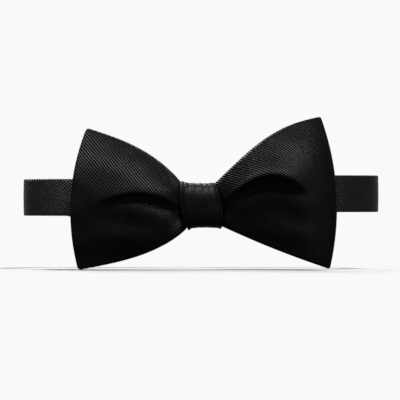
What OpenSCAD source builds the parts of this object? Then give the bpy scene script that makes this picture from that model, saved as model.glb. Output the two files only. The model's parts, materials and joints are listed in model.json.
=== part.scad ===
// Ready-tied bow tie in ribbed silk on an adjustable neck band, upright as worn.
// +Z is up and the bow faces -Y. The origin is the middle of the knot's flat back, which lies on the collar.
// Every length is in millimetres, and every wing is drawn towards +X and mirrored where it is a left one.

/* [Bow] */
// Reach of the left wing's outer edge from the middle
left_span = 59.4; // [52:0.1:66]
// Reach of the right wing's outer edge from the middle
right_span = 62; // [52:0.1:68]
// Height of the left wing's top tip
left_top = 35.5; // [28:0.5:42]
// Depth of the left wing's bottom tip
left_bottom = 29.5; // [24:0.5:36]
// Height of the right wing's top tip
right_top = 40.4; // [28:0.1:44]
// Depth of the right wing's bottom tip
right_bottom = 28.8; // [24:0.1:36]
// Size of the rear wings compared with the front ones
rear_scale = 0.93; // [0.85:0.01:0.95]

/* [Cloth] */
// Thickness of the silk
silk = 0.45; // [0.3:0.05:0.5]
// Thickness of the interlining
lining = 0.6; // [0.4:0.05:0.65]
// Air left between two layers
ply_gap = 0.05; // [0.03:0.01:0.08]

/* [Knot] */
// Width across the middle of the knot
knot_w = 19.6; // [17:0.1:22]
// Height of the knot
knot_h = 20.8; // [20:0.1:23]
// Depth of the knot, from its flat back to its front
knot_d = 13.2; // [13:0.1:15]

/* [Neck band] */
// Height of the band
band_h = 17; // [15:0.5:17.5]
// Height of the clasp's strap above the middle of the knot
clasp_z = 0; // [-1:0.1:2]
// Thickness of the band
band_t = 1.4; // [1.3:0.05:1.5]
// Half the width of the closed loop, to the middle of the band
loop_a = 81.7; // [75:0.1:85]
// Depth of the closed loop, from the knot to the clasp's strap
loop_d = 52.35; // [48:0.05:56]
// Rise of the band from the knot to the left end of the loop
left_rise = 3.7; // [0:0.1:6]
// Rise of the band from the knot to the right end of the loop
right_rise = 5.4; // [0:0.1:6]

/* [Clasp] */
// Distance between the ring's two upright bars
ring_w = 12; // [10:0.5:14]
// Distance from the ring's hooked bar to the hook's bar
hook_w = 11; // [10.5:0.5:13]
// Distance from the ring's strap bar to the slider's middle bar
slider_run = 30; // [28:1:32]
// Radius of the ring's and the hook's wire
wire_r = 0.6; // [0.5:0.05:0.6]

/* [Hidden] */
silk_colour = [0.05, 0.05, 0.06];
canvas_colour = [0.75, 0.72, 0.66];
thread_colour = [0.1, 0.1, 0.11];
metal_colour = [0.75, 0.76, 0.78];
$fn = 48;

wrap_t = silk + 0.1;             // the knot's cloth is turned in at its edges
wrap_in = wrap_t + 2 * ply_gap + lining - 0.1;
pinch_z = knot_h / 2 - wrap_in - 1.75;   // half height of the bow inside the knot
pinch_x = 1;                     // where each wing's root ends inside the knot
knot_lean = 0.17;                // sideways shift of the knot for each millimetre down
knot_taper = 2.2;                // how much narrower each side is at the knot's top and bottom
knot_front_r = 3.2;              // roundness of the knot's front and back corners
knot_back_r = 1.6;
thread_r = 0.15;
thread_z = pinch_z + 1.35;       // the binding thread's half height, and its y at the back and at the front
thread_back = -3.5;
thread_front = -12;
seam_z = -5;                     // height of the seam on the knot's back

blade_t = 2 * silk + lining + 2 * ply_gap;
face_ply = [0, silk];
core_ply = [silk + ply_gap, silk + ply_gap + lining];
back_ply = [silk + lining + 2 * ply_gap, blade_t];
core_inset = 0.97;               // the interlining stops short of the seams

// A wing: tip_top [x, z], tip_bottom [x, z], how far its outer edge bows out,
// then the swell and skew of its top edge and of its bottom edge, and the side the knot leans to
LEFT = [[left_span - 7.2, left_top], [left_span - 3.3, -left_bottom], 5.1, [4.6, 0.75], [4.6, 0.7], -1];
RIGHT = [[right_span - 7.4, right_top], [right_span - 3.2, -right_bottom], 4.9, [5.8, 1.08], [0.8, 1], 1];

// A layer: y of its middle at the root, y at the outer edge, forward dome by the knot, forward dome of the edge,
// and how far above the middle the dome is fullest, as a share of the half height
FRONT_BLADE = [-10.8, -5, 4.6, 6.2, 0.25];
FRONT_LOOP = [-9.75, -6.2, 3.8, 5.2, 0.25];
REAR_LOOP = [-5.65, -1.2, 0, 0.8, 0];
REAR_BLADE = [-5, -0.6, 0, 0.8, 0];
loop_root = 1.85;                // half the loop's thickness at the root, over both legs
loop_blunt = 0.8;                // under 1 gives the fold a rounder nose
FRONT_BELLY = 3.4;
REAR_BELLY = 1;

band_inside = 2.35;              // from the knot's flat back to the middle of the band that runs through it
loop_mid = loop_d - band_inside; // y of the strap's middle at the back
bend_y = loop_mid / 2;           // y of the loop's two ends, where the band bends
corner_a = 19.7;                 // half width of the rounded back corners
bar_y = loop_mid - 1.25;         // y of the ring's bars and the hook's bar
ring_x = -ring_w;                // the ring's strap bar; its hooked bar stands at x = 0
slider_x = ring_x - slider_run;
fold_len = 7;                    // length of each turned-back end
fold_h = band_h - 0.3;
strap_t = 1;                     // the strap is pressed flatter where it turns
half_gap = 0.3;                  // between two pieces of one strap
left_end = ring_w + fold_len + half_gap;
right_end = hook_w + fold_len + half_gap;
tube_wall = 0.4;                 // cloth of the band round its interlining
core_gap = 0.45;
front_x = 10;                    // the band's front rises from here
stub_x = 58;                     // and levels out here, behind the wings' outer edges
left_x = 50;                     // the back straps rise from here
right_x = 22;
risen_x = 66;

function mix(a, b, t) = a + (b - a) * t;
function ease(t) = let (c = max(0, min(1, t))) c * c * (3 - 2 * c);
// Zero at both ends of an edge, and fullest nearer the root when skew is under 1
function swell(u, skew) = sin(180 * pow(max(0, min(1, u)), skew));
// The knot's edge on the side it is asked for, as a distance from the middle
function knot_edge(z, side) = let (r = 2 * z / knot_h) knot_w / 2 - knot_taper * r * r - side * knot_lean * z;

// x and z of a wing at u, from 0 at the knot to 1 at the outer edge, and v, from -1 at the bottom to 1 at the top.
// u of -1 is the end inside the knot.
function wing_xz(w, size, u, v) =
    let (root_z = pinch_z * v,
         root = [knot_edge(root_z, w[5]) + 0.4, root_z],
         tip = [mix(w[1][0], w[0][0], (v + 1) / 2) + w[2] * (1 - v * v), mix(w[1][1], w[0][1], (v + 1) / 2)],
         rise = w[3][0] * max(v, 0) * swell(u, w[3][1]) - w[4][0] * max(-v, 0) * swell(u, w[4][1]))
    u < 0 ? [pinch_x, root_z * 0.97]
          : [mix(root[0], tip[0] * size, u), mix(root[1], tip[1] * size, u) + rise * size];

// Share of a layer's dome at v; one that is fullest above the middle falls away more steadily below it
function dome(v, peak) = 1 - (v > peak ? pow((v - peak) / (1 - peak), 2)
                                       : pow((peak - v) / (1 + peak), peak > 0 ? 1.5 : 2));
// y of the middle of a layer
function layer_y(l, u, v) =
    let (c = max(u, 0)) mix(l[0], l[1], c) - (l[2] * swell(c, 0.55) + l[3] * c) * dome(v, l[4]);

// A point of a flat wing, depth behind its front surface
function blade_point(w, l, size, u, v, depth) =
    let (p = wing_xz(w, size, u, v)) [p[0], layer_y(l, u, v) - blade_t / 2 + depth, p[1]];

// A point of a looped wing at a turn from 0 at the front root to 180 at the back root, depth inside its outer surface
function loop_point(w, l, size, belly, turn, v, depth) =
    let (inside = turn < 0 || turn > 180,
         u = inside ? -1 : pow(max(0, sin(turn)), loop_blunt),
         side = turn < 0 ? 1 : turn > 180 ? -1 : cos(turn),
         half = loop_root + belly * sin(90 * max(u, 0)) - depth,
         p = wing_xz(w, size, u, v))
    [p[0] - max(u, 0) * depth, layer_y(l, u, v) - half * side, p[1]];

// The two triangles of the four-cornered patch a, b, c, d
function patch(a, b, c, d) = [[a, b, c], [a, c, d]];

// A closed sheet between two grids of points of the same size
module sheet_solid(front, back) {
    rows = len(front);
    cols = len(front[0]);
    far = rows * cols;
    function at(i, j) = i * cols + j;
    fronts = [for (i = [0:rows - 2], j = [0:cols - 2])
        each patch(at(i, j), at(i, j + 1), at(i + 1, j + 1), at(i + 1, j))];
    backs = [for (t = fronts) [t[0] + far, t[2] + far, t[1] + far]];
    rim = concat([for (j = [0:cols - 2]) [at(0, j + 1), at(0, j)]],
                 [for (j = [0:cols - 2]) [at(rows - 1, j), at(rows - 1, j + 1)]],
                 [for (i = [0:rows - 2]) [at(i, 0), at(i + 1, 0)]],
                 [for (i = [0:rows - 2]) [at(i + 1, cols - 1), at(i, cols - 1)]]);
    edges = [for (e = rim) each patch(e[0], e[1], e[1] + far, e[0] + far)];
    polyhedron(points = concat([for (r = front) each r], [for (r = back) each r]),
               faces = concat(fronts, backs, edges), convexity = 10);
}

// One ply of a flat wing
module blade(w, l, size, ply, inset = 1) {
    u_steps = [-1, 0, 0.03, 0.08, 0.16, 0.26, 0.38, 0.5, 0.62, 0.74, 0.86, 0.94, 1];
    v_steps = [-1, -0.85, -0.6, -0.3, 0, 0.3, 0.6, 0.85, 1];
    function grid(depth) = [for (u = u_steps) [for (v = v_steps)
        blade_point(w, l, size, u > 0 ? u * inset : u, v * inset, depth)]];
    sheet_solid(grid(ply[0]), grid(ply[1]));
}

// One ply of a looped wing
module loop(w, l, size, belly, ply, inset = 1) {
    turns = [-1, 0, 2, 6, 13, 22, 33, 46, 60, 75, 90, 105, 120, 134, 147, 158, 167, 174, 178, 180, 181];
    v_steps = [-1, -0.85, -0.6, -0.3, 0, 0.3, 0.6, 0.85, 1];
    function grid(depth) = [for (t = turns) [for (v = v_steps) loop_point(w, l, size, belly, t, v * inset, depth)]];
    sheet_solid(grid(ply[0]), grid(ply[1]));
}

module left_blade_face() color(silk_colour) mirror([1, 0, 0]) blade(LEFT, FRONT_BLADE, 1, face_ply);
module left_blade_interlining() color(canvas_colour)
    mirror([1, 0, 0]) blade(LEFT, FRONT_BLADE, 1, core_ply, core_inset);
module left_blade_lining() color(silk_colour) mirror([1, 0, 0]) blade(LEFT, FRONT_BLADE, 1, back_ply);

module left_loop_face() color(silk_colour)
    mirror([1, 0, 0]) loop(LEFT, REAR_LOOP, rear_scale, REAR_BELLY, face_ply);
module left_loop_interlining() color(canvas_colour)
    mirror([1, 0, 0]) loop(LEFT, REAR_LOOP, rear_scale, REAR_BELLY, core_ply, core_inset);
module left_loop_lining() color(silk_colour)
    mirror([1, 0, 0]) loop(LEFT, REAR_LOOP, rear_scale, REAR_BELLY, back_ply);

module right_loop_face() color(silk_colour) loop(RIGHT, FRONT_LOOP, 1, FRONT_BELLY, face_ply);
module right_loop_interlining() color(canvas_colour)
    loop(RIGHT, FRONT_LOOP, 1, FRONT_BELLY, core_ply, core_inset);
module right_loop_lining() color(silk_colour) loop(RIGHT, FRONT_LOOP, 1, FRONT_BELLY, back_ply);

module right_blade_face() color(silk_colour) blade(RIGHT, REAR_BLADE, rear_scale, back_ply);
module right_blade_interlining() color(canvas_colour) blade(RIGHT, REAR_BLADE, rear_scale, core_ply, core_inset);
module right_blade_lining() color(silk_colour) blade(RIGHT, REAR_BLADE, rear_scale, face_ply);

// Arc points, from one angle to another
function arc(centre, r, from, to, steps = 8) =
    [for (i = [0:steps]) let (a = mix(from, to, i / steps)) centre + r * [cos(a), sin(a)]];
// A rounded box with y across and z up, from back to front, with its corners' radii
function round_box(back, front, z, front_r, back_r) =
    concat(arc([back - back_r, z - back_r], back_r, 0, 90), arc([front + front_r, z - front_r], front_r, 90, 180),
           arc([front + front_r, front_r - z], front_r, 180, 270), arc([back - back_r, back_r - z], back_r, 270, 360));
// The knot's section, drawn in by a distance all round
function knot_section(in) =
    round_box(-in, in - knot_d, knot_h / 2 - in, max(knot_front_r - in, 0.8), max(knot_back_r - in, 0.5));
// The knot's outline from the front, narrowed by a distance on both sides
function knot_outline(in) =
    let (zs = [for (i = [0:12]) mix(-knot_h / 2 - 0.1, knot_h / 2 + 0.1, i / 12)])
    concat([for (z = zs) [knot_edge(z, 1) - in, z]],
           [for (i = [12:-1:0]) [in - knot_edge(zs[i], -1), zs[i]]]);
// A sleeve round the bow, running along X
module sleeve(out, in, length) translate([-length / 2, 0, 0]) rotate([90, 0, 90]) linear_extrude(length)
    difference() {
        polygon(knot_section(out));
        polygon(knot_section(in));
    }
module knot_layer(out, in, narrow) intersection() {
    sleeve(out, in, 2 * knot_w);
    translate([0, 1, 0]) rotate([90, 0, 0]) linear_extrude(knot_d + 2) polygon(knot_outline(narrow));
}
// Stitches in a row along X or Z, each sunk flush in its cloth
module stitch_row(count, pitch, along_x = false) for (i = [0:count - 1])
    let (place = (i - (count - 1) / 2) * pitch)
    translate(along_x ? [place - pitch / 3, 0, 0] : [0, 0, place - pitch / 3])
        rotate(along_x ? [0, 90, 0] : [0, 0, 0]) cylinder(r = thread_r, h = pitch * 2 / 3);

module knot_wrap() color(silk_colour) difference() {
    knot_layer(0, wrap_t, 0);
    translate([-knot_w, -2.4 * thread_r, seam_z - 2 * thread_r]) cube([2 * knot_w, 1, 4 * thread_r]);
}
module knot_interlining() color(canvas_colour) knot_layer(wrap_t + ply_gap, wrap_in - ply_gap, 0.6);
module knot_stitches() color(thread_colour)
    translate([-seam_z * knot_lean, -1.2 * thread_r, seam_z]) stitch_row(7, 2.2, true);

// The binding thread's outline round the bow, drawn in by a distance
module thread_line(in) polygon(round_box(thread_back - in, thread_front + in, thread_z - in, 2 - in, 1 - in));
// Three turns of thread, each a flat-sided ring round both strips of the bow
module binding_thread() color(thread_colour) for (i = [-1:1]) translate([i * 0.5, 0, 0])
    rotate([90, 0, 90]) linear_extrude(2 * thread_r, center = true) difference() {
        thread_line(0);
        thread_line(2 * thread_r);
    }

// A curved strip of the front half of the loop from above, on the right, thick in all
function front_strip(thick) =
    let (b = bend_y + band_inside, n = 20, grow = thick / 2, end = 0.85 * band_t,
         angles = [for (i = [0:n]) mix(-89.8, -asin(end / b), i / n)])
    concat([for (a = angles) [(loop_a + grow) * cos(a), bend_y + (b + grow) * sin(a)]],
           [for (i = [n:-1:0]) [(loop_a - grow) * cos(angles[i]), bend_y + (b - grow) * sin(angles[i])]]);
// The back half from the bend to x = inner, on the right
function back_strip(thick, inner) =
    let (n = 10, grow = thick / 2, cx = loop_a - corner_a, b = loop_mid - bend_y)
    concat([for (i = [0:n]) let (a = 90 * i / n) [cx + (corner_a + grow) * cos(a), bend_y + (b + grow) * sin(a)]],
           [[inner, loop_mid + grow], [inner, loop_mid - grow]],
           [for (i = [n:-1:0]) let (a = 90 * i / n)
               [cx + (corner_a - grow) * cos(a), bend_y + (b - grow) * sin(a)]]);
// The band's outline from the front, between two distances from the middle, rising from low to high
function rise_outline(height, low, high, from, to) =
    let (n = 12, xs = [for (i = [0:n]) mix(0, loop_a + 2, i / n)],
         zs = [for (x = xs) mix(low, high, ease((x - from) / (to - from)))])
    concat([for (i = [0:n]) [xs[i], zs[i] - height / 2]], [for (i = [n:-1:0]) [xs[i], zs[i] + height / 2]]);

module band_run(strip, outline) intersection() {
    translate([0, 0, -25]) linear_extrude(60) polygon(strip);
    translate([0, 70, 0]) rotate([90, 0, 0]) linear_extrude(90) polygon(outline);
}
module front_tube(rise) difference() {
    band_run(front_strip(band_t), rise_outline(band_h, 0, rise, front_x, stub_x));
    band_run(front_strip(band_t - 2 * tube_wall), rise_outline(band_h - 2 * tube_wall, 0, rise, front_x, stub_x));
}
module front_core(rise)
    band_run(front_strip(band_t - 2 * core_gap), rise_outline(band_h - 2 * core_gap, 0, rise, front_x, stub_x));
module back_tube(inner, high, from) difference() {
    union() {
        band_run(back_strip(band_t, inner), rise_outline(band_h, clasp_z, high, from, risen_x));
        translate([loop_a, bend_y, high - band_h / 2]) cylinder(r = band_t / 2, h = band_h);
    }
    band_run(back_strip(band_t - 2 * tube_wall, inner - 1),
             rise_outline(band_h - 2 * tube_wall, clasp_z, high, from, risen_x));
}
module back_core(inner, high, from)
    band_run(back_strip(band_t - 2 * core_gap, inner), rise_outline(band_h - 2 * core_gap, clasp_z, high, from, risen_x));

module left_front_band() color(silk_colour) mirror([1, 0, 0]) front_tube(left_rise);
module left_front_interlining() color(canvas_colour) mirror([1, 0, 0]) front_core(left_rise);
module right_front_band() color(silk_colour) front_tube(right_rise);
module right_front_interlining() color(canvas_colour) front_core(right_rise);
module left_back_strap() color(silk_colour) mirror([1, 0, 0]) back_tube(left_end, left_rise, left_x);
module left_back_interlining() color(canvas_colour) mirror([1, 0, 0]) back_core(left_end, left_rise, left_x);
module right_back_strap() color(silk_colour) back_tube(right_end, right_rise, right_x);
module right_back_interlining() color(canvas_colour) back_core(right_end, right_rise, right_x);

// A strap's end turned round a bar at the origin, with both legs towards +X
module turned_end(hole_r, length, height, groove_x = 0) difference() {
    union() {
        cylinder(r = hole_r + strap_t, h = height, center = true);
        translate([0, -hole_r - strap_t, -height / 2]) cube([length, 2 * (hole_r + strap_t), height]);
    }
    cylinder(r = hole_r, h = height + 1, center = true);
    translate([0, -hole_r, -height / 2 - 1]) cube([length + 1, 2 * hole_r, height + 2]);
    if (groove_x > 0) translate([groove_x - 2 * thread_r, -hole_r - strap_t - 1, -height])
        cube([4 * thread_r, 1 + 2.4 * thread_r, 2 * height]);
}
fold_hole = 0.75;
slider_hole = 0.6;
slider_wire = 0.5;
slider_bar_y = bar_y - 1.3;      // the middle bar stands inside the outer two, so the strap runs straight between them
outer_bar_y = loop_mid + band_t / 2 + 0.2 + slider_wire;
slider_pitch = 6.4;
rail_z = band_h / 2 + 1;
rail_h = 1.2;                    // height of the slider's and the hook's cast rails
rail_t = 1.1;
arm_z = band_h / 2 + 0.9;        // height of the ring's top arm above its middle
plate_t = 0.9;                   // the hook's plate, its height and its two uprights
plate_h = 9;
post_w = 1.6;
hook_z = band_h / 2 + 1.5;
stitch_x = 5;

module at_strap(x, y) translate([x, y, clasp_z]) children();
module ring_fold() color(silk_colour) at_strap(ring_x, bar_y) mirror([1, 0, 0]) turned_end(fold_hole, fold_len, fold_h);
module slider_fold() color(silk_colour) at_strap(slider_x, slider_bar_y)
    turned_end(slider_hole, fold_len, fold_h, stitch_x);
module slider_stitches() color(thread_colour)
    at_strap(slider_x + stitch_x, slider_bar_y - slider_hole - strap_t + 1.2 * thread_r) stitch_row(7, 2.1);
module hook_fold() color(silk_colour) at_strap(hook_w, bar_y) turned_end(fold_hole, fold_len, fold_h, stitch_x);
module hook_stitches() color(thread_colour)
    at_strap(hook_w + stitch_x, bar_y - fold_hole - strap_t + 1.2 * thread_r) stitch_row(7, 2.1);
module return_strap() color(silk_colour) {
    from = [slider_x + fold_len + half_gap, slider_bar_y - slider_hole - strap_t / 2];
    to = [ring_x - fold_len - half_gap, bar_y - fold_hole - strap_t / 2];
    half = [0, strap_t / 2];
    translate([0, 0, clasp_z - fold_h / 2]) linear_extrude(fold_h)
        polygon([from - half, to - half, to + half, from + half]);
}

// A bar along Z, and one along X, both centred on the place given
module upright(x, y, r, length) translate([x, y, -length / 2]) cylinder(r = r, h = length);
module level(x, z, r, length) translate([x, 0, z]) rotate([0, 90, 0]) cylinder(r = r, h = length);

module ring() color(metal_colour) at_strap(0, bar_y) {
    for (x = [ring_x, 0]) upright(x, 0, wire_r, 2 * arm_z);
    for (z = [-arm_z, arm_z]) {
        level(ring_x, z, wire_r, ring_w);
        for (x = [ring_x, 0]) translate([x, 0, z]) sphere(wire_r);
    }
}
module slider() color(metal_colour) at_strap(slider_x, 0) {
    for (x = [-slider_pitch, slider_pitch]) upright(x, outer_bar_y, slider_wire, 2 * rail_z);
    upright(0, slider_bar_y, slider_wire, 2 * rail_z);
    half = rail_t / 2;
    end_x = slider_pitch + half;
    for (z = [-rail_z, rail_z]) translate([0, 0, z - rail_h / 2]) linear_extrude(rail_h) polygon([
        [-end_x, outer_bar_y + half], [-end_x, outer_bar_y - half], [-rail_t, slider_bar_y - half],
        [rail_t, slider_bar_y - half], [end_x, outer_bar_y - half], [end_x, outer_bar_y + half],
        [slider_pitch - rail_t, outer_bar_y + half], [0, slider_bar_y + rail_t],
        [rail_t - slider_pitch, outer_bar_y + half]]);
}
// A plate outside the ring's bar, its lip turned in behind the bar, and a frame back to the strap's bar
module hook() color(metal_colour) at_strap(0, bar_y) {
    near = wire_r + 0.25;        // y of the plate's and of the lip's faces on the ring's side
    out = near + plate_t;
    lip_x = -wire_r - 0.45;
    post_x = hook_w - 4;
    upright(hook_w, 0, wire_r, 2 * hook_z - 1);
    translate([0, 0, -plate_h / 2]) linear_extrude(plate_h) polygon([[lip_x - plate_t, out], [lip_x - plate_t, -near],
        [lip_x, -near], [lip_x, near], [post_x + 1, near], [post_x + 1, out]]);
    translate([post_x, near, -hook_z]) cube([post_w, plate_t, 2 * hook_z]);
    for (z = [-hook_z, hook_z - rail_h]) translate([0, 0, z]) linear_extrude(rail_h) polygon([
        [post_x, near], [post_x + post_w, near], [hook_w - wire_r, -wire_r], [hook_w + wire_r, -wire_r],
        [hook_w + wire_r, wire_r], [post_x + post_w + 0.3, out], [post_x, out]]);
}

left_blade_face();
left_blade_interlining();
left_blade_lining();
left_loop_face();
left_loop_interlining();
left_loop_lining();
right_loop_face();
right_loop_interlining();
right_loop_lining();
right_blade_face();
right_blade_interlining();
right_blade_lining();
knot_wrap();
knot_interlining();
knot_stitches();
binding_thread();
left_front_band();
left_front_interlining();
right_front_band();
right_front_interlining();
left_back_strap();
left_back_interlining();
right_back_strap();
right_back_interlining();
ring_fold();
return_strap();
ring();
slider();
slider_fold();
slider_stitches();
hook_fold();
hook_stitches();
hook();
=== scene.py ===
"""The looks of a ready-tied silk bow tie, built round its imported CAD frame."""
import json
import math

import bmesh
import bpy
import numpy as np
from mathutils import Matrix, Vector


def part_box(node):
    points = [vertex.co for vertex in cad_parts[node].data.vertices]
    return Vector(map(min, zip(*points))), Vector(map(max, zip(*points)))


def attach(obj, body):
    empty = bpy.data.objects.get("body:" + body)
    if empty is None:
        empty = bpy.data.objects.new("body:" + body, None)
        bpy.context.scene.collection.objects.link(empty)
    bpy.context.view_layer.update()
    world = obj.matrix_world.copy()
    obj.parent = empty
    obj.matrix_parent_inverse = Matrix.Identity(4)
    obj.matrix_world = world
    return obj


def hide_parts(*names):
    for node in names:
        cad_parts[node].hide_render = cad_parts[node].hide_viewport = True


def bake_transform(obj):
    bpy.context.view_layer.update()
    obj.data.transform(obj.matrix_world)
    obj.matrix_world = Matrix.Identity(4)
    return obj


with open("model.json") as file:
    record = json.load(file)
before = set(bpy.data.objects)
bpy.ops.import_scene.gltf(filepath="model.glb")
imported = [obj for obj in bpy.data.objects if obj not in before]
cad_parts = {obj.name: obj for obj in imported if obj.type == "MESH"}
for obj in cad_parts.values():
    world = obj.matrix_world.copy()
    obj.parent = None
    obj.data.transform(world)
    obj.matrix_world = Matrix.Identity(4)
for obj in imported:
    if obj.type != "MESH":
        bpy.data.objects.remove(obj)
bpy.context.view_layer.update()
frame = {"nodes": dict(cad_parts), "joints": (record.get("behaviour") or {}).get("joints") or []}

MM = 0.001                  # lengths are in millimetres until a mesh is made


def joint_place(name):
    """Where a joint of the CAD model is, in millimetres."""
    joint = next(j for j in frame["joints"] if j["name"] == name)
    return np.round(np.array(joint["pos_m"]) / MM, 3)


def node_box(name):
    """The lowest and highest corner of a CAD node, in millimetres."""
    low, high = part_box(name)
    return np.round(np.array(low) / MM, 3), np.round(np.array(high) / MM, 3)


# ---------------------------------------------------------------- sizes, from the frame where it has them
knot_low, knot_high = node_box("knot_wrap")
left_low, left_high = node_box("left_blade_face")
right_low, right_high = node_box("right_loop_face")
slider_low, slider_high = node_box("slider")
BEND_X, BEND_Y, RIGHT_RISE = joint_place("right_bend")
LEFT_RISE = joint_place("left_bend")[2]
RING_X, BAR_Y, CLASP_Z = joint_place("ring_swing")
HOOK_X = joint_place("hook_swing")[0]
SLIDER_X = (slider_low[0] + slider_high[0]) / 2
KNOT_H = knot_high[2] - knot_low[2]
KNOT_D = knot_high[1] - knot_low[1]

SILK_T = 0.45
CANVAS_T = 0.6              # the interlining
PLY_GAP = 0.05
WING_T = 2 * SILK_T + CANVAS_T + 2 * PLY_GAP
SEAM_R = 0.78               # how far in a wing's edge is rounded
CORNER_R = 1.6              # roundness of a flat wing's corners
TIP_HALF, TIP_X = 30, 52    # rough half height and distance out of a wing's tips
CANVAS_SHARE = 0.968        # the interlining stops short of the seams
PINCH_Z = 7.5               # half height of the bow inside the knot
PINCH_X = 1.0               # where a wing ends inside the knot
UNDER_KNOT = 0.2            # how far a wing starts inside the knot's edge
ROOT_HALF, EDGE_HALF = 10, 31   # rough half heights of a wing, at the knot and at its outer edge
WING_REACH = 50             # rough length of a wing from the knot
LOOP_ROOT = 1.85            # half the thickness of a loop at its root

KNOT_W = 19.6
KNOT_LEAN = 0.17            # sideways shift of the knot for each millimetre down
KNOT_TAPER = 2.2            # how much narrower the knot is at its top and bottom
KNOT_EDGE_R = 0.7           # roll of the knot's turned-in edges
KNOT_BIAS = 28              # slant of the knot's ribs, in degrees
WRAP_T = 0.55               # thickness of the knot's cloth
WRAP_SHARE = 0.93           # width of the knot's cloth between its rolled edges
CORE_SHARE = 0.8            # width of the knot's interlining

BAND_H, BAND_T = 17.0, 1.4
STRAP_H, STRAP_T = 16.7, 1.0    # where the band is pressed flat to turn round a bar
TUBE_WALL = 0.4
TUBE_GAP = 0.45             # from the band's surface to its interlining
BAND_INSIDE = 2.35          # from the knot's flat back to the middle of the band
BACK_Y = 2 * BEND_Y         # middle of the strap at the back
CORNER_A = 19.7             # half width of the loop's rounded back corners
FRONT_X, STUB_X = 10, 58    # the band's front rises between these
LEFT_X, RIGHT_X, RISEN_X = 50, 22, 66   # and its back between these
FOLD_R, SLIDER_R = 1.25, 1.1    # from a bar to the middle of the strap that turns round it
FOLD_LEN = 7                # from a bar to the sewn end of the strap
SLIDER_BAR_Y = BAR_Y - 1.3
RAIL_T = 1.1                # thickness of the slider's bars
CUT_X = round(-slider_low[0] - RAIL_T / 2, 3)   # the left band is joined under the slider's outer bar
PRESS_X, PRESSED_X = 26, 19.3   # the left strap is pressed flat between these
HOOK_PRESS_X, HOOK_PRESSED_X = 24, 18.3     # and the right one between these
RETURN_X = 34.7             # where the strap's way back runs straight into the slider
BEND_LEN = 24               # length of the band that bends at each end of the loop
STRETCH_TO_X = -20          # the strap takes up the slider's travel up to here
RETURN_FROM_X = -34         # and its way back does so from here on

# A wing: its two tips, how far the outer edge bows out, the swell and skew of its top and bottom edges,
# its half heights at the knot, and the side it is on
LEFT = dict(top=(52.2, left_high[2]), bottom=(56.1, left_low[2]), bow=5.1, rise=(4.6, 0.75),
            sag=(4.6, 0.7), root=(10.5, 9.7), side=-1)
RIGHT = dict(top=(54.6, right_high[2]), bottom=(58.8, right_low[2]), bow=4.9, rise=(5.8, 1.08),
             sag=(0.8, 1.0), root=(9.9, 9.5), side=1)
# A layer: y at the root and at the outer edge, dome by the knot and of the edge, where the dome is fullest,
# how far its corners tuck back beside the knot, its size, and how far a loop bellies out
FRONT_BLADE = dict(root_y=-10.8, edge_y=-5.0, dome=(4.6, 6.2), peak=0.25, tuck=2.2, size=1, belly=None)
FRONT_LOOP = dict(root_y=-9.75, edge_y=-6.2, dome=(3.8, 5.2), peak=0.25, tuck=2.2, size=1, belly=3.4)
REAR_LOOP = dict(root_y=-5.65, edge_y=-1.2, dome=(0, 0.8), peak=0, tuck=0.44, size=0.93, belly=1.0)
REAR_BLADE = dict(root_y=-5.0, edge_y=-0.6, dome=(0, 0.8), peak=0, tuck=0.44, size=0.93, belly=None)


def mix(a, b, t):
    return a + (b - a) * t


def ease(t):
    c = np.clip(t, 0, 1)
    return c * c * (3 - 2 * c)


def bump(x, centre, width):
    return np.exp(-((x - centre) / width) ** 2)


def swell(u, skew):
    return np.sin(math.pi * np.clip(u, 0, 1) ** skew)


def knot_edge(z, side):
    """Distance from the middle to the knot's edge on one side."""
    r = 2 * z / KNOT_H
    return KNOT_W / 2 - KNOT_TAPER * r * r - side * KNOT_LEAN * z


# ---------------------------------------------------------------- meshes
def mesh_object(name, points, faces, uvs, material):
    """A mesh from points in millimetres, quads of point numbers, and a weave coordinate for each point."""
    mesh = bpy.data.meshes.new(name)
    points = np.asarray(points, dtype=np.float32).reshape(-1, 3) * MM
    faces = np.asarray(faces, dtype=np.int32).reshape(-1, 4)
    uvs = np.asarray(uvs, dtype=np.float32).reshape(-1, 2) * MM
    mesh.vertices.add(len(points))
    mesh.vertices.foreach_set("co", points.ravel())
    mesh.loops.add(faces.size)
    mesh.loops.foreach_set("vertex_index", faces.ravel())
    mesh.polygons.add(len(faces))
    mesh.polygons.foreach_set("loop_start", np.arange(0, faces.size, 4, dtype=np.int32))
    mesh.polygons.foreach_set("loop_total", np.full(len(faces), 4, dtype=np.int32))
    mesh.update(calc_edges=True)
    layer = mesh.uv_layers.new(name="weave")
    layer.data.foreach_set("uv", uvs[faces.ravel()].ravel())
    mesh.polygons.foreach_set("use_smooth", np.ones(len(faces), dtype=bool))
    mesh.materials.append(material)
    mesh.validate()
    obj = bpy.data.objects.new(name, mesh)
    bpy.context.collection.objects.link(obj)
    return obj


def grid_faces(rows, cols, first=0, loop=False):
    i, j = np.meshgrid(np.arange(rows - 1), np.arange(cols if loop else cols - 1), indexing="ij")
    k = (j + 1) % cols
    quads = np.stack([i * cols + j, i * cols + k, (i + 1) * cols + k, (i + 1) * cols + j], -1)
    return quads.reshape(-1, 4) + first


def two_sided(name, outer, inner, faces, edges, weave, material):
    """The outer and the inner grid and the edge faces between them, as one closed mesh."""
    far = outer.shape[0] * outer.shape[1]
    points = np.concatenate([outer.reshape(-1, 3), inner.reshape(-1, 3)])
    uvs = np.concatenate([weave.reshape(-1, 2)] * 2)
    return mesh_object(name, points, np.concatenate([faces, faces[:, ::-1] + far, edges]), uvs, material)


def shell(name, outer, inner, weave, material):
    """A closed sheet between two grids of points of the same size."""
    rows, cols = outer.shape[:2]
    far = rows * cols
    at = np.arange(far).reshape(rows, cols)
    rim = np.concatenate([at[0, ::-1], at[1:, 0], at[-1, 1:], at[-2:0:-1, -1]])
    after = np.roll(rim, -1)
    edge = np.stack([rim, after, after + far, rim + far], -1)
    return two_sided(name, outer, inner, grid_faces(rows, cols), edge, weave, material)


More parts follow.
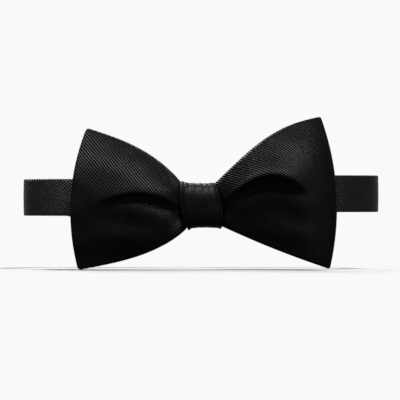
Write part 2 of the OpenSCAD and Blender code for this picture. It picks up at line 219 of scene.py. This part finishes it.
def tube(name, outer, inner, weave, material):
    """A hollow tube between two grids whose rows are closed rings."""
    rows, cols = outer.shape[:2]
    far = rows * cols
    j = np.arange(cols)
    k = (j + 1) % cols
    last = (rows - 1) * cols
    start = np.stack([k, j, j + far, k + far], -1)
    end = np.stack([last + j, last + k, last + k + far, last + j + far], -1)
    ends = np.concatenate([start, end])
    return two_sided(name, outer, inner, grid_faces(rows, cols, loop=True), ends, weave, material)


# ---------------------------------------------------------------- materials
def material_graph(name):
    """A new material with its node maker, its links and its shader."""
    material = bpy.data.materials.new(name)
    material.use_nodes = True
    tree = material.node_tree
    return material, tree.nodes, tree.links, tree.nodes["Principled BSDF"]


def silk(name, rib, depth=1.0, shine=0.02, dull=0.6):
    """Ribbed silk: round ribs across the weave, with fine crossing yarns and uneven thread."""
    material, nodes, links, shader = material_graph(name)
    uv = nodes.new("ShaderNodeUVMap")
    uv.uv_map = "weave"
    split = nodes.new("ShaderNodeSeparateXYZ")
    links.new(uv.outputs["UV"], split.inputs[0])

    def sum_of(kind, a, b=0.0, clamp=False):
        node = nodes.new("ShaderNodeMath")
        node.operation = kind
        node.use_clamp = clamp
        for socket, value in zip(node.inputs, (a, b)):
            if isinstance(value, (int, float)):
                socket.default_value = value
            else:
                links.new(value, socket)
        return node.outputs[0]

    def noise(scale, detail, stretch):
        mapping = nodes.new("ShaderNodeMapping")
        mapping.inputs["Scale"].default_value = stretch
        links.new(uv.outputs["UV"], mapping.inputs["Vector"])
        texture = nodes.new("ShaderNodeTexNoise")
        texture.inputs["Scale"].default_value = scale
        texture.inputs["Detail"].default_value = detail
        links.new(mapping.outputs[0], texture.inputs["Vector"])
        return texture.outputs["Fac"]

    def map_range(value, low, high):
        node = nodes.new("ShaderNodeMapRange")
        node.inputs["To Min"].default_value = low
        node.inputs["To Max"].default_value = high
        links.new(value, node.inputs["Value"])
        return node.outputs["Result"]

    pitch = rib * MM
    yarn = 0.28 * MM
    wobble = sum_of("MULTIPLY", sum_of("SUBTRACT", noise(120, 3, (1, 1, 1)), 0.5), 0.6 * MM)
    across = sum_of("ADD", split.outputs["Y"], wobble)
    rib_wave = sum_of("ABSOLUTE", sum_of("SINE", sum_of("MULTIPLY", across, math.pi / pitch)))
    rib_flank = sum_of("MULTIPLY", sum_of("PINGPONG", across, pitch / 2), 2 / pitch)
    yarn_wave = sum_of("ABSOLUTE", sum_of("SINE", sum_of("MULTIPLY", split.outputs["X"], math.pi / yarn)))
    uneven = noise(900, 4, (0.25, 2.0, 1))
    height = sum_of("ADD", sum_of("MULTIPLY", rib_flank, 0.8), sum_of("MULTIPLY", rib_wave, 0.25))
    for part, share in ((yarn_wave, 0.14), (uneven, 0.15), (noise(5000, 2, (1, 1, 1)), 0.05)):
        height = sum_of("ADD", height, sum_of("MULTIPLY", part, share))
    relief = nodes.new("ShaderNodeBump")
    relief.inputs["Strength"].default_value = 1.0
    relief.inputs["Distance"].default_value = 0.19 * pitch * depth
    links.new(height, relief.inputs["Height"])
    links.new(relief.outputs["Normal"], shader.inputs["Normal"])
    # Base colour: painted shade in the rib grooves and a painted lighter tone on the rib crowns, varied at
    # random by the uneven thread
    painted_rib_shade = nodes.new("ShaderNodeMix")
    painted_rib_shade.data_type = "RGBA"
    painted_rib_shade.inputs["A"].default_value = (0.00003, 0.00003, 0.00004, 1)
    painted_rib_shade.inputs["B"].default_value = (0.0001, 0.0001, 0.00012, 1)
    crown_light_mask = sum_of("MULTIPLY", rib_wave, sum_of("ADD", uneven, 0.5), clamp=True)
    links.new(crown_light_mask, painted_rib_shade.inputs["Factor"])
    links.new(painted_rib_shade.outputs["Result"], shader.inputs["Base Color"])
    polish = sum_of("MULTIPLY", rib_flank, sum_of("ADD", uneven, 0.6))
    links.new(map_range(polish, dull, 0.32), shader.inputs["Roughness"])
    shader.inputs["Specular IOR Level"].default_value = shine
    shader.inputs["Specular Tint"].default_value = (0.93, 0.94, 1.0, 1)
    return material


def plain(name, colour, roughness, metallic=0.0, grain=0.0, scale=2000.0, shine=0.5):
    """One colour with an uneven gloss and a fine grain."""
    material, nodes, links, shader = material_graph(name)
    shader.inputs["Base Color"].default_value = (*colour, 1)
    shader.inputs["Metallic"].default_value = metallic
    shader.inputs["Specular IOR Level"].default_value = shine
    place = nodes.new("ShaderNodeTexCoord")
    texture = nodes.new("ShaderNodeTexNoise")
    texture.inputs["Scale"].default_value = scale
    texture.inputs["Detail"].default_value = 5
    links.new(place.outputs["Object"], texture.inputs["Vector"])
    spread = nodes.new("ShaderNodeMapRange")
    spread.inputs["To Min"].default_value = roughness - 0.12
    spread.inputs["To Max"].default_value = roughness + 0.12
    links.new(texture.outputs["Fac"], spread.inputs["Value"])
    links.new(spread.outputs["Result"], shader.inputs["Roughness"])
    relief = nodes.new("ShaderNodeBump")
    relief.inputs["Distance"].default_value = grain * MM
    links.new(texture.outputs["Fac"], relief.inputs["Height"])
    links.new(relief.outputs["Normal"], shader.inputs["Normal"])
    return material


bow_silk = silk("bow_silk", 1.1, depth=1.15)
knot_silk = silk("knot_silk", 0.62, depth=0.8, shine=0.022)
band_silk = silk("band_silk", 1.1, depth=1.8, shine=0.045, dull=0.5)
lining_silk = silk("lining_silk", 1.1)
canvas = plain("interlining", (0.62, 0.58, 0.5), 0.9, grain=0.1)
thread = plain("thread", (0.012, 0.012, 0.014), 0.6, grain=0.03)
metal = plain("clasp_metal", (0.33, 0.33, 0.34), 0.28, metallic=1.0, grain=0.004, scale=600)


# ---------------------------------------------------------------- wings
def wing_xz(w, size, u, v):
    """x and z of a wing at u, 0 at the knot to 1 at the outer edge, and v, -1 at its foot to 1 at its top."""
    root_z = mix(PINCH_Z, np.where(v > 0, w["root"][0], w["root"][1]), ease(u + 1)) * v
    reach = np.clip(u, 0, 1)
    root_x = knot_edge(np.clip(root_z, -KNOT_H / 2, KNOT_H / 2), w["side"]) - UNDER_KNOT
    top, bottom = w["top"], w["bottom"]
    t = (v + 1) / 2
    tip_x = (mix(bottom[0], top[0], t) + w["bow"] * (1 - v * v)) * size
    tip_z = mix(bottom[1], top[1], t) * size
    rise = w["rise"][0] * np.maximum(v, 0) * swell(reach, w["rise"][1])
    rise = rise - w["sag"][0] * np.maximum(-v, 0) * swell(reach, w["sag"][1])
    x = np.where(u < 0, mix(root_x, PINCH_X, -u), mix(root_x, tip_x, reach))
    z = np.where(u < 0, root_z, mix(root_z, tip_z, reach) + rise * size)
    return x, z


def dome_share(v, peak):
    """Share of the dome at v; one that is fullest above the middle falls away more steadily below it."""
    d = v - peak
    below = (np.abs(d) / (1 + peak)) ** (1.5 if peak > 0 else 2)
    return 1 - np.where(d > 0, (d / (1 - peak)) ** 2, below)


def layer_y(layer, u, v):
    """y of the middle of a layer."""
    c = np.clip(u, 0, 1)
    by_knot, at_edge = layer["dome"]
    dome = (by_knot * swell(c, 0.55) + at_edge * c) * dome_share(v, layer["peak"])
    tuck = layer["tuck"] * v ** 4 * (1 - ease(u / 0.12))
    return mix(layer["root_y"], layer["edge_y"], c) - dome + tuck


def lobe_over_fold(d, lobe, reach, drop, soft):
    """Depth of a fold at a height d above it: a lobe that stands out above, and a drop that stays below."""
    above = lobe * np.exp(-((d - 2) / np.where(d > 2, reach, 2.2)) ** 2)
    below = drop / (1 + np.exp(np.clip(d / soft, -30, 30)))
    return below - above


def left_crease(x, z):
    """The long crease that runs out from the knot over the left wing."""
    t = np.clip((x - 9) / 39, 0, 1)
    line = mix(-2.0, 0.2, t) + 5.2 * np.sin(math.pi * t ** 0.92)
    d = z - line
    valley = 1.4 * np.exp(-(d / np.where(d > 0, 0.9, 4.5)) ** 2)
    here = ease((x - 6) / 6) * (1 - ease((x - 34) / 15))
    return (valley + lobe_over_fold(d, 0.3, 7, 0.8, 0.5)) * here


def right_hollow(x, z):
    """The broad hollow under a rolled lip on the right wing."""
    t = np.clip((x - 9) / 39, 0, 1)
    lip = mix(0.8, 6.3, t) + 8.2 * np.sin(math.pi * t ** 1.1)
    here = mix(0.35, 1, ease((x - 9) / 13)) * (1 - ease((x - 38) / 14))
    shelf = 0.6 * bump(z - lip, -8, 4.5)
    return (lobe_over_fold(z - lip, 1.5, 8, 3.4, 0.9) - shelf) * here


def soft_folds(seed, size, x, z):
    """Gentle unevenness of a wing, stronger by the knot where the cloth is gathered."""
    rng = np.random.default_rng(seed)
    turn = 2 * math.pi
    total = np.zeros_like(x)
    for _ in range(5):
        phase, angle, wave = rng.uniform(0, turn), rng.uniform(-0.5, 0.5), rng.uniform(9, 20)
        across = z * math.cos(angle) + x * math.sin(angle)
        total += np.sin(across * turn / wave + phase) * rng.uniform(0.05, 0.14)
    near_knot = np.exp(-np.clip(x - 9, 0, None) / 9)
    fan = np.arctan2(z, np.maximum(x - 2, 1))
    total += near_knot * 0.45 * np.sin(fan * 7 + rng.uniform(0, turn)) * ease((x - 6) / 5)
    return total * size


def left_front_shape(x, z):
    return left_crease(x, z) + soft_folds(3, 1, x, z)


def right_front_shape(x, z):
    return right_hollow(x, z) + soft_folds(5, 1, x, z)


def left_rear_shape(x, z):
    return soft_folds(8, 0.8, x, z)


def right_rear_shape(x, z):
    return soft_folds(9, 0.8, x, z)


def left_weave(x, z):
    """Straight diagonal ribs that flatten in the lower part near the knot."""
    low = ease((4 - z) / 18) * (1 - ease((x - 22) / 22))
    cos40, sin40 = 0.766, 0.643
    steep = cos40 * (60 - x) + sin40 * z
    flat = 0.30 * (60 - x) + 0.95 * z
    return np.stack([sin40 * x + cos40 * z, mix(steep, flat, low * 0.2)], -1)


def right_weave(x, z):
    """Ribs that run shallow near the knot and turn steeper towards the outer edge."""
    run = x - 15
    across = z + 0.27 * run + 1.46 * np.clip(run, 0, None) ** 3 / (3 * 45 ** 2)
    return np.stack([x, across], -1)


def turned(s):
    """How far the surface falls back at a distance s from the sewn edge."""
    c = np.clip(s / SEAM_R, 0, 1)
    return SEAM_R * (1 - np.sqrt(1 - (1 - c) ** 2))


def ply_depths(ply, s):
    """Outer and inner depth of a ply behind the wing's front at a distance s from its edge."""
    back = turned(s)
    middle = WING_T / 2
    if ply == "face":
        return back, np.minimum(back + SILK_T, middle - 0.01)
    if ply == "lining":
        return WING_T - back, np.maximum(WING_T - back - SILK_T, middle + 0.01)
    return SILK_T + PLY_GAP + 0 * s, SILK_T + PLY_GAP + CANVAS_T + 0 * s


def height_steps():
    """v from -1 to 1, closer together by the seams, where the cloth turns."""
    fine = np.array([0.0, 0.12, 0.3, 0.55, 0.9, 1.4]) / TIP_HALF
    middle = np.linspace(-1 + fine[-1] * 1.6, 1 - fine[-1] * 1.6, 84)
    return np.concatenate([-1 + fine, middle, 1 - fine[::-1]])


def wing_shell(name, w, near, far, weave, ply, material):
    """A ply between two grids, its faces turned outwards."""
    outwards = (w["side"] > 0) != (ply == "lining")
    order = slice(None) if outwards else slice(None, None, -1)
    return shell(name, near[:, order], far[:, order], weave[:, order], material)


def flat_wing(name, w, layer, shape, weave, ply, material):
    """One ply of a wing that ends in a flat seamed edge. A rear one shows its face at the back."""
    inset = CANVAS_SHARE if ply == "core" else 1.0
    by_edge = 1 - np.array([1.4, 1.0, 0.65, 0.4, 0.2, 0.08, 0]) / WING_REACH
    u, v = np.meshgrid(np.concatenate([[-1, -0.6, -0.3], np.linspace(0, 0.965, 82), by_edge]),
                       height_steps(), indexing="ij")
    half = mix(ROOT_HALF, EDGE_HALF, np.clip(u, 0, 1))
    corner = np.clip((1 - np.abs(v)) * TIP_HALF / CORNER_R, 0, 1)
    cut_off = CORNER_R / TIP_X * (1 - np.sqrt(1 - (1 - corner) ** 2)) * ease(u)
    u = np.where(u > 0, u * (1 - cut_off), u)
    s = np.minimum((1 - np.abs(v)) * half, (1 - np.clip(u, 0, 1)) * WING_REACH)
    u, v = np.where(u > 0, u * inset, u), v * inset
    x, z = wing_xz(w, layer["size"], u, v)
    front = layer_y(layer, u, v) - WING_T / 2 + shape(x, z)
    near, far = ply_depths(ply, s)
    if layer is REAR_BLADE:
        near, far = WING_T - near, WING_T - far
    grids = [np.stack([w["side"] * x, front + depth, z], -1) for depth in (near, far)]
    return wing_shell(name, w, *grids, weave(x, z), ply, material)


def loop_wing(name, w, layer, shape, weave, ply, material):
    """One ply of a wing that is a folded loop, round from its front root to its back root."""
    inset = CANVAS_SHARE if ply == "core" else 1.0
    leg = np.degrees(np.arcsin(np.linspace(0, 0.9, 64) ** 1.25))
    nose = np.linspace(leg[-1], 180 - leg[-1], 30)[1:-1]
    turns = np.concatenate([[-10, -6, -3], leg, nose, 180 - leg[::-1], [183, 186, 190]])
    turn, v = np.meshgrid(turns, height_steps(), indexing="ij")
    arc = np.radians(np.clip(turn, 0, 180))
    inside = (turn < 0) | (turn > 180)
    u = np.where(inside, -np.maximum(-turn, turn - 180) / 10, np.sin(arc) ** 0.8)
    out = np.clip(u, 0, 1)
    lead = np.cos(arc)
    depths = ply_depths(ply, (1 - np.abs(v)) * mix(ROOT_HALF, EDGE_HALF, out))
    v = v * inset
    x, z = wing_xz(w, layer["size"], u, v)
    dent = shape(x, z) * np.clip(lead, 0, 1) ** 0.7
    grids = []
    for depth in depths:
        half = LOOP_ROOT + layer["belly"] * np.sin(math.pi / 2 * out) - depth
        y = layer_y(layer, u, v) - half * lead + dent
        grids.append(np.stack([w["side"] * (x - out * depth), y, z], -1))
    return wing_shell(name, w, *grids, weave(x, z), ply, material)


def make_ply(ply, name, wing, w, layer, shape, weave):
    """One ply of a wing, in its material, in place of the CAD node it replaces."""
    node_part, slot, material = PLIES[ply]
    build, legs, held = (flat_wing, 1, "gathered") if layer["belly"] is None else (loop_wing, 2, "folded")
    piece = build(f"{name}_{ply}", w, layer, shape, weave, ply, material)
    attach(piece, "bow")
    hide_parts(f"{wing}_{node_part}")


PLIES = {
    "face": ("face", "bow_silk", bow_silk),
    "core": ("interlining", "interlining", canvas),
    "lining": ("lining", "bow_silk", lining_silk),
}
for ply in PLIES:
    make_ply(ply, "left_front_wing", "left_blade", LEFT, FRONT_BLADE, left_front_shape, left_weave)
    make_ply(ply, "right_front_wing", "right_loop", RIGHT, FRONT_LOOP, right_front_shape, right_weave)
    make_ply(ply, "left_rear_wing", "left_loop", LEFT, REAR_LOOP, left_rear_shape, left_weave)
    make_ply(ply, "right_rear_wing", "right_blade", RIGHT, REAR_BLADE, right_rear_shape, right_weave)


# ---------------------------------------------------------------- knot
def knot_ring(t, depth):
    """Points round the knot's section at t, -1 at its left edge to 1 at its right, depth inside it."""
    a = np.linspace(0, 2 * math.pi, 181)[:-1]
    side = abs(t)
    half_y = KNOT_D / 2 * (1 - 0.1 * side ** 3)
    half_z = KNOT_H / 2 - 0.3 + (1.2 if t < 0 else 0.5) * side ** 3
    c, s = np.cos(a), np.sin(a)
    power = 2 / 3.0
    up = np.sign(s) * np.abs(s) ** power
    back = np.sign(c) * np.abs(c) ** power
    front = ease((0.3 - back) / 0.6)
    left_lip = 0.32 * bump(t, -0.9, 0.05) - 0.35 * bump(t, -0.8, 0.035)
    right_lip = 0.22 * bump(t, 0.9, 0.04) - 0.2 * bump(t, 0.83, 0.03)
    top_pucker = 0.13 * np.sin(t * 17 + 2 * up) * ease((up - 0.55) / 0.4)
    low_pucker = 0.09 * np.sin(t * 14 + 1) * ease((-0.6 - up) / 0.4)
    drape = 0.10 * np.sin(3.1 * up + 2.2 * t) + 0.05 * np.sin(7 * up - 4 * t)
    out = (left_lip + right_lip + top_pucker + low_pucker + drape * (1 - side)) * front - depth
    y = -KNOT_D / 2 * 0.98 + (half_y + out) * back
    z = (half_z + out) * up
    x = t * knot_edge(np.clip(z, -KNOT_H / 2, KNOT_H / 2), 1 if t > 0 else -1)
    return np.stack([x, y, z], -1)


def turned_by(degrees):
    """The matrix that turns weave coordinates by an angle."""
    c, s = math.cos(math.radians(degrees)), math.sin(math.radians(degrees))
    return np.array([[c, -s], [s, c]])


def knot_sleeve(name, t_edge, outer_depth, inner_depth, roll, material):
    """A sleeve round the knot between two depths, its edges rolled in by the radius roll."""
    steps = [(t, 0.0, 0.0) for t in np.linspace(-t_edge, t_edge, 72)]
    if roll:
        turn = np.radians(np.linspace(18, 150, 8))
        rolled = [(t_edge, roll * (1 - math.cos(a)), roll * math.sin(a)) for a in turn]
        steps = [(-t, depth, -shift) for t, depth, shift in rolled[::-1]] + steps + rolled
    outer, inner, weave = [], [], []
    for t, depth, shift in steps:
        ring = knot_ring(t, outer_depth + depth)
        ring[:, 0] += shift
        travel = np.concatenate([[0], np.cumsum(np.linalg.norm(np.diff(ring, axis=0), axis=1))])
        across = ring[:, 0] + np.sign(shift) * depth
        outer.append(ring)
        inner.append(knot_ring(t * 0.93, inner_depth + depth * 0.6))
        weave.append(np.stack([travel, across], -1) @ turned_by(KNOT_BIAS))
    piece = tube(name, np.array(outer), np.array(inner), np.array(weave), material)
    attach(piece, "bow")
    return piece


knot_cloth = knot_sleeve("knot_cloth", WRAP_SHARE, 0, WRAP_T, KNOT_EDGE_R, knot_silk)
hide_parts("knot_wrap")
core_depth = WRAP_T + PLY_GAP
knot_core = knot_sleeve("knot_core", CORE_SHARE, core_depth, core_depth + 0.5, 0, canvas)
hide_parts("knot_interlining")


# ---------------------------------------------------------------- neck band
def front_path(rise):
    """The band's middle from the knot to the bend, towards +X: x, y, z, thickness, height."""
    a = np.radians(np.linspace(-89.7, 0, 110))
    x, y = BEND_X * np.cos(a), BEND_Y + (BEND_Y + BAND_INSIDE) * np.sin(a)
    z = mix(0, rise, ease((x - FRONT_X) / (STUB_X - FRONT_X)))
    return np.stack([x, y, z, 0 * x + BAND_T, 0 * x + BAND_H], -1)


def back_path(rise, rise_from, end):
    """The band's middle from the bend to x = end at the back."""
    a = np.radians(np.linspace(0, 90, 45)[1:])
    corner = BEND_X - CORNER_A
    x = np.concatenate([corner + CORNER_A * np.cos(a), np.arange(corner - 0.9, end + 0.4, -0.9), [end]])
    y = np.concatenate([BEND_Y + BEND_Y * np.sin(a), np.full(len(x) - len(a), BACK_Y)])
    z = mix(CLASP_Z, rise, ease((x - rise_from) / (RISEN_X - rise_from)))
    return np.stack([x, y, z, 0 * x + BAND_T, 0 * x + BAND_H], -1)


def strap_path(points):
    """A strap at clasp height through (x, y, thickness) points."""
    x, y, thick = np.array(points).T
    height = mix(STRAP_H, BAND_H, ease((thick - STRAP_T) / (BAND_T - STRAP_T)))
    return np.stack([x, y, 0 * x + CLASP_Z, thick, height], -1)


def turn_round(x, y, r, start, end):
    """Points of a strap's middle round a bar, between two angles."""
    turn = np.radians(np.linspace(start, end, 19))
    return [(x + r * math.cos(a), y + r * math.sin(a), STRAP_T) for a in turn]


def straight(start, end, y0, y1, thick0=STRAP_T, thick1=STRAP_T):
    """Points of a strap's middle from x = start up to, but not at, x = end."""
    count = max(2, int(abs(end - start) / 0.8))
    steps = np.linspace(0, 1, count, endpoint=False)
    return [(mix(start, end, t), mix(y0, y1, ease(t)), mix(thick0, thick1, ease(t))) for t in steps]


def mirrored(path):
    return path * np.array([-1, 1, 1, 1, 1])


def section(thick, height, inset, pillow):
    """A flat tube's section from its inner face's middle: offsets across and up, and distance round it."""
    t, h = thick / 2 - inset, height / 2 - inset
    r = t * 0.9
    face = np.linspace(-(h - r), h - r, 27)
    arc = np.radians(np.linspace(0, 180, 11)[1:-1])
    lower, upper = 0 * face[:14] - t, 0 * face[13:-1] - t
    across = np.concatenate([lower, -t * np.cos(arc), 0 * face + t, t * np.cos(arc), upper])
    rounding = r * np.sin(arc)
    up = np.concatenate([face[13::-1], -(h - r) - rounding, face, (h - r) + rounding, face[:13:-1]])
    across = across * (1 + pillow * (1 - np.clip(np.abs(up) / h, 0, 1) ** 2))
    travel = np.concatenate([[0], np.cumsum(np.hypot(np.diff(across), np.diff(up)))])
    return across, up, travel


def strap(name, path, material, core=False, side=1, phase=0.0):
    """A flat tube of cloth, or the interlining inside one, swept along a path."""
    xy = path[:, :2]
    tangent = np.gradient(xy, axis=0)
    tangent /= np.linalg.norm(tangent, axis=1, keepdims=True)
    normal = np.stack([tangent[:, 1], -tangent[:, 0]], -1)
    run = np.concatenate([[0], np.cumsum(np.linalg.norm(np.diff(xy, axis=0), axis=1))]) + phase
    surfaces = (TUBE_GAP, TUBE_GAP + 0.2) if core else (0, TUBE_WALL)
    pillow = 0 if core else 0.18
    grids = []
    for inset in surfaces:
        rows = []
        for (x, y, z, thick, height), n in zip(path, normal):
            across, up, _ = section(thick, height, inset, pillow)
            rows.append(np.stack([x + n[0] * across * side, y + n[1] * across * side, z + up], -1))
        grids.append(np.array(rows))
    round_it = section(*path[-1, 3:], surfaces[0], pillow)[2]
    u, v = np.meshgrid(round_it, run)
    bias = np.stack([u - side * v, u + side * v], -1) * 0.707
    order = slice(None) if side > 0 else slice(None, None, -1)
    return tube(name, grids[0][:, order], grids[1][:, order], bias[:, order], material)


def bend_with(piece, first, second, start, end, nodes):
    """Bake a piece's placement and hide the nodes it takes the place of; the two bodies and the two points
    (in mm) are not used.
    """
    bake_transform(piece)
    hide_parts(*nodes)


def make_left_band():
    """The band from the knot round to the slider, with its interlining."""
    path = mirrored(np.concatenate([front_path(LEFT_RISE), back_path(LEFT_RISE, LEFT_X, CUT_X)]))
    bend = (-BEND_X, BEND_Y - BEND_LEN / 2, 0), (-BEND_X, BEND_Y + BEND_LEN / 2, 0)
    band = strap("left_band", path, band_silk, side=-1)
    bend_with(band, "bow", "back_left", *bend, ["left_front_band"])
    core = strap("left_band_core", path[2:-2], canvas, core=True, side=-1)
    bend_with(core, "bow", "back_left", *bend, ["left_front_interlining"])


def make_left_strap():
    """The strap from under the slider on and round the ring, with its interlining."""
    full = straight(-CUT_X, -PRESS_X, BACK_Y, BACK_Y, BAND_T, BAND_T)
    under_y = BAR_Y - FOLD_R
    path = strap_path(full + straight(-PRESS_X, -PRESSED_X, BACK_Y, BACK_Y, BAND_T, STRAP_T)
                      + straight(-PRESSED_X, RING_X, BACK_Y, BACK_Y)
                      + turn_round(RING_X, BAR_Y, FOLD_R, 90, -90)
                      + straight(RING_X, -PRESSED_X, under_y, under_y)[1:]
                      + [(-PRESSED_X, under_y, STRAP_T)])
    bend = (-CUT_X, BACK_Y, 0), (STRETCH_TO_X, BACK_Y, 0)
    cloth = strap("left_strap", path, band_silk, side=-1)
    bend_with(cloth, "back_left", "strap_fold", *bend, ["left_back_strap", "ring_fold"])
    core_path = path[1:len(full) + 5]
    core = strap("left_strap_core", core_path, canvas, core=True, side=-1)
    bend_with(core, "back_left", "strap_fold", *bend, ["left_back_interlining"])


def make_left_return():
    """The strap's way back from the ring, turned round the slider's middle bar and sewn down."""
    under_y, return_y = BAR_Y - FOLD_R, SLIDER_BAR_Y - SLIDER_R
    over_y = SLIDER_BAR_Y + SLIDER_R
    path = strap_path(straight(-PRESSED_X, -RETURN_X, under_y, return_y)
                      + straight(-RETURN_X, SLIDER_X, return_y, return_y)
                      + turn_round(SLIDER_X, SLIDER_BAR_Y, SLIDER_R, -90, -270)
                      + straight(SLIDER_X, SLIDER_X + FOLD_LEN, over_y, over_y)[1:])
    piece = strap("left_return", path, band_silk, side=-1, phase=60)
    bend_with(piece, "slider", "strap_fold", (RETURN_FROM_X, BACK_Y, 0), (STRETCH_TO_X, BACK_Y, 0),
              ["return_strap", "slider_fold"])


def make_right_band():
    """The band from the knot round to the hook and round its bar, with its interlining."""
    under_y = BAR_Y - FOLD_R
    start = np.concatenate([front_path(RIGHT_RISE), back_path(RIGHT_RISE, RIGHT_X, HOOK_PRESS_X)])
    end = strap_path(straight(HOOK_PRESS_X, HOOK_PRESSED_X, BACK_Y, BACK_Y, BAND_T, STRAP_T)[1:]
                     + straight(HOOK_PRESSED_X, HOOK_X, BACK_Y, BACK_Y)
                     + turn_round(HOOK_X, BAR_Y, FOLD_R, 90, 270)
                     + straight(HOOK_X, HOOK_X + FOLD_LEN, under_y, under_y)[1:])
    path = np.concatenate([start, end])
    bend = (BEND_X, BEND_Y - BEND_LEN / 2, 0), (BEND_X, BEND_Y + BEND_LEN / 2, 0)
    band = strap("right_band", path, band_silk)
    bend_with(band, "bow", "back_right", *bend, ["right_front_band", "right_back_strap", "hook_fold"])
    core = strap("right_band_core", start[2:], canvas, core=True)
    bend_with(core, "bow", "back_right", *bend, ["right_front_interlining", "right_back_interlining"])


make_left_band()
make_left_strap()
make_left_return()
make_right_band()


# ---------------------------------------------------------------- stitches
def fill_ends(piece):
    """Close the open ends of a mesh and turn its faces outwards."""
    work = bmesh.new()
    work.from_mesh(piece.data)
    bmesh.ops.holes_fill(work, edges=[e for e in work.edges if e.is_boundary], sides=0)
    bmesh.ops.recalc_face_normals(work, faces=work.faces)
    work.to_mesh(piece.data)
    work.free()


def stitches(name, node, body, middle, step, outwards):
    """A row of seven slightly slack stitches round its middle, a step apart, that stand outwards in y."""
    middle, step, out = np.array(middle, float), np.array(step, float), np.array([0.0, outwards, 0.0])
    pitch = np.linalg.norm(step)
    along = step / pitch
    across = np.cross(along, out)
    places = np.linspace(-1, 1, 9)
    ring = np.linspace(0, 2 * math.pi, 11)[:-1]
    points, faces, uvs = [], [], []
    for i in range(-3, 4):
        faces.append(grid_faces(len(places), len(ring), len(points) * len(ring), loop=True))
        for t in places:
            r = 0.17 * math.sqrt(max(1 - t ** 6, 0.02))
            lift = 0.10 - 0.22 * t ** 4
            centre = middle + step * i + along * t * pitch * 0.36 + out * lift
            points.append([centre + r * (math.cos(a) * out + math.sin(a) * across) for a in ring])
            uvs.append([(t, a) for a in ring])
    piece = mesh_object(name, points, np.concatenate(faces), uvs, thread)
    fill_ends(piece)
    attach(piece, body)
    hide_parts(node)


stitches("knot_seam_stitches", "knot_stitches", "bow", (0.85, 0, -5), (2.2, 0, 0), 1)
stitches("hook_end_stitches", "hook_stitches", "back_right",
         (HOOK_X + 5, BAR_Y - FOLD_R - STRAP_T / 2, CLASP_Z), (0, 0, 2.1), -1)
stitches("slider_end_stitches", "slider_stitches", "slider",
         (SLIDER_X + 5, SLIDER_BAR_Y - SLIDER_R - STRAP_T / 2, CLASP_Z), (0, 0, 2.1), -1)


# ---------------------------------------------------------------- clasp
def polished(node):
    """The CAD's metal piece with its edges eased. It rides the body of its own name."""
    source = frame["nodes"][node]
    piece = source.copy()
    piece.data = source.data.copy()
    piece.name = node + "_metal"
    piece.parent = None
    bpy.context.collection.objects.link(piece)
    piece.data.materials.clear()
    piece.data.materials.append(metal)
    bevel = piece.modifiers.new("bevel", "BEVEL")
    bevel.width = 0.15 * MM
    bevel.segments = 2
    bevel.limit_method = "ANGLE"
    bevel.angle_limit = math.radians(50)
    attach(piece, node)
    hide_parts(node)


for node in ("ring", "slider", "hook"):
    polished(node)
binding = frame["nodes"]["binding_thread"]
binding.data.materials.clear()
binding.data.materials.append(thread)


# ---------------------------------------------------------------- studio
def sun(name, direction, strength, angle):
    light = bpy.data.lights.new(name, "SUN")
    light.energy = strength
    light.angle = math.radians(angle)
    holder = bpy.data.objects.new(name, light)
    holder.rotation_euler = Vector(direction).to_track_quat("-Z", "Y").to_euler()
    bpy.context.collection.objects.link(holder)


def white_room():
    """An even white surround and a floor of the same tone."""
    world = bpy.data.worlds.new("studio")
    bpy.context.scene.world = world
    world.use_nodes = True
    back = world.node_tree.nodes["Background"]
    back.inputs["Color"].default_value = (1, 1, 1, 1)
    back.inputs["Strength"].default_value = 0.95
    floor_at = (0, 0, (left_low[2] - 0.1) * MM)
    bpy.ops.mesh.primitive_circle_add(vertices=96, radius=3, fill_type="NGON", location=floor_at)
    floor = bpy.context.object
    floor.name = "floor"
    floor.data.materials.append(plain("floor_paper", (0.0625, 0.0625, 0.063), 0.9, shine=0.0))


def camera_in_front():
    """A long lens square on to the bow."""
    camera = bpy.data.cameras.new("camera")
    camera.lens = 300
    camera.sensor_width = 36
    camera.clip_start = 0.01
    holder = bpy.data.objects.new("camera", camera)
    holder.location = (-0.45 * MM, -1.525, 2.5 * MM)
    holder.rotation_euler = (math.pi / 2, 0, 0)
    bpy.context.collection.objects.link(holder)
    bpy.context.scene.camera = holder
    bpy.context.scene.view_settings.view_transform = "Standard"


white_room()
sun("key", (-0.3, 0.34, -1), 38, 18)
sun("left", (0.5, 0.8, -0.5), 1.2, 25)
sun("right", (-0.95, 0.25, -0.5), 2, 25)
sun("back", (0.25, -0.6, -0.8), 11, 25)
camera_in_front()
